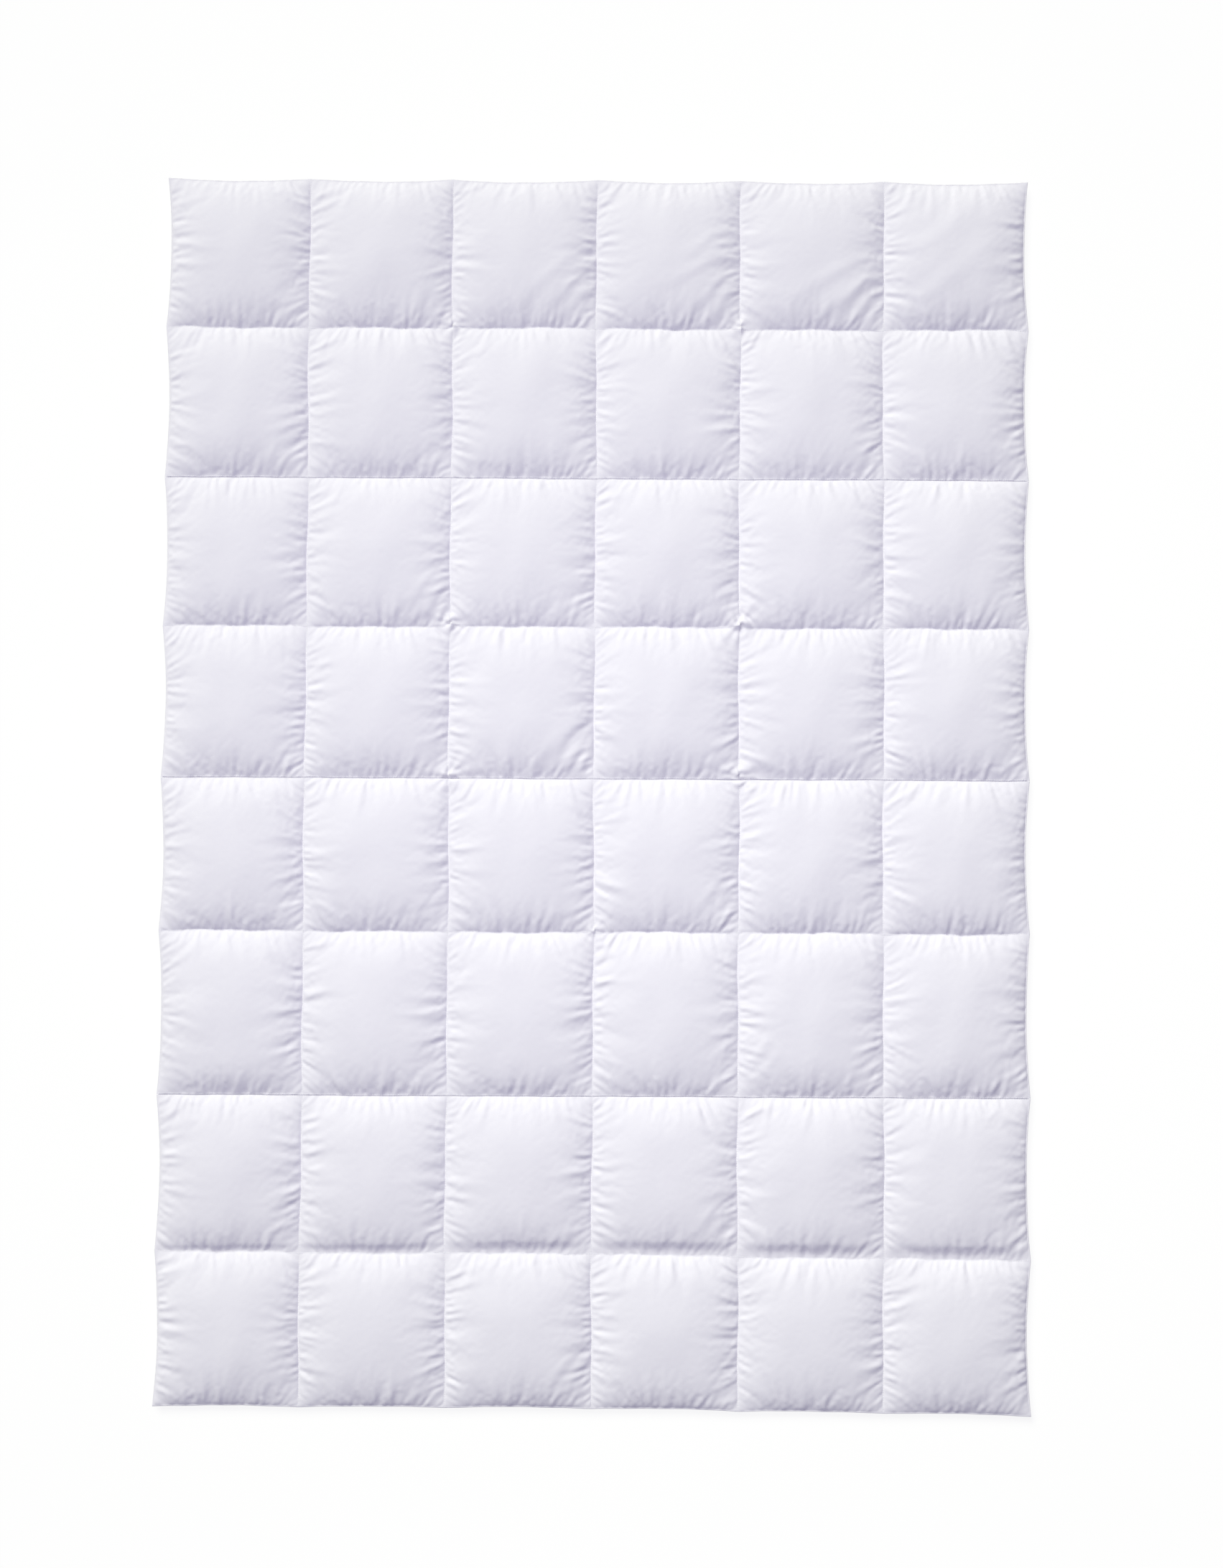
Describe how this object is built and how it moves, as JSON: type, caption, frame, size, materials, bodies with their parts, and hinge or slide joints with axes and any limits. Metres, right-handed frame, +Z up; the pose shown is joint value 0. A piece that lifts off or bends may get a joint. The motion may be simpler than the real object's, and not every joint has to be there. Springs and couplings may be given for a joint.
{
  "type": "duvet",
  "caption": "Box-quilted fibre-filled duvet laid flat, with turned edges and crosswise seams that it folds at.",
  "frame": {"origin": "middle of the underside, on the surface that the duvet lies on", "axes": "+X across the width, +Y along the length towards the head end, +Z up out of the upper cloth"},
  "size_m": [1.55, 2.2, 0.0419],
  "materials": {
    "shell_fabric": "matte",
    "fibre_fill": "matte",
    "quilting_thread": "satin"
  },
  "bodies": {
    "head_panel": {"top_shell_head": "shell_fabric", "bottom_shell_head": "shell_fabric", "quilting_thread_head": "quilting_thread", "fill_r1_c1": "fibre_fill", "fill_r1_c2": "fibre_fill", "fill_r1_c3": "fibre_fill", "fill_r1_c4": "fibre_fill", "fill_r1_c5": "fibre_fill", "fill_r1_c6": "fibre_fill", "fill_r2_c1": "fibre_fill", "fill_r2_c2": "fibre_fill", "fill_r2_c3": "fibre_fill", "fill_r2_c4": "fibre_fill", "fill_r2_c5": "fibre_fill", "fill_r2_c6": "fibre_fill"},
    "upper_panel": {"top_shell_upper": "shell_fabric", "bottom_shell_upper": "shell_fabric", "quilting_thread_upper": "quilting_thread", "fill_r3_c1": "fibre_fill", "fill_r3_c2": "fibre_fill", "fill_r3_c3": "fibre_fill", "fill_r3_c4": "fibre_fill", "fill_r3_c5": "fibre_fill", "fill_r3_c6": "fibre_fill", "fill_r4_c1": "fibre_fill", "fill_r4_c2": "fibre_fill", "fill_r4_c3": "fibre_fill", "fill_r4_c4": "fibre_fill", "fill_r4_c5": "fibre_fill", "fill_r4_c6": "fibre_fill"},
    "lower_panel": {"top_shell_lower": "shell_fabric", "bottom_shell_lower": "shell_fabric", "quilting_thread_lower": "quilting_thread", "fill_r5_c1": "fibre_fill", "fill_r5_c2": "fibre_fill", "fill_r5_c3": "fibre_fill", "fill_r5_c4": "fibre_fill", "fill_r5_c5": "fibre_fill", "fill_r5_c6": "fibre_fill", "fill_r6_c1": "fibre_fill", "fill_r6_c2": "fibre_fill", "fill_r6_c3": "fibre_fill", "fill_r6_c4": "fibre_fill", "fill_r6_c5": "fibre_fill", "fill_r6_c6": "fibre_fill"},
    "foot_panel": {"top_shell_foot": "shell_fabric", "bottom_shell_foot": "shell_fabric", "quilting_thread_foot": "quilting_thread", "fill_r7_c1": "fibre_fill", "fill_r7_c2": "fibre_fill", "fill_r7_c3": "fibre_fill", "fill_r7_c4": "fibre_fill", "fill_r7_c5": "fibre_fill", "fill_r7_c6": "fibre_fill", "fill_r8_c1": "fibre_fill", "fill_r8_c2": "fibre_fill", "fill_r8_c3": "fibre_fill", "fill_r8_c4": "fibre_fill", "fill_r8_c5": "fibre_fill", "fill_r8_c6": "fibre_fill"}
  },
  "joints": [
    {"name": "head_fold", "type": "hinge", "parent": "upper_panel", "child": "head_panel", "pos_m": [0, 0.557, 0.01545], "axis": [1, 0, 0], "range_deg": [-85, 85]},
    {"name": "middle_fold", "type": "hinge", "parent": "upper_panel", "child": "lower_panel", "pos_m": [0, 0.018, 0.01545], "axis": [-1, 0, 0], "range_deg": [-85, 85]},
    {"name": "foot_fold", "type": "hinge", "parent": "lower_panel", "child": "foot_panel", "pos_m": [0, -0.546, 0.01545], "axis": [-1, 0, 0], "range_deg": [-85, 85]}
  ]
}
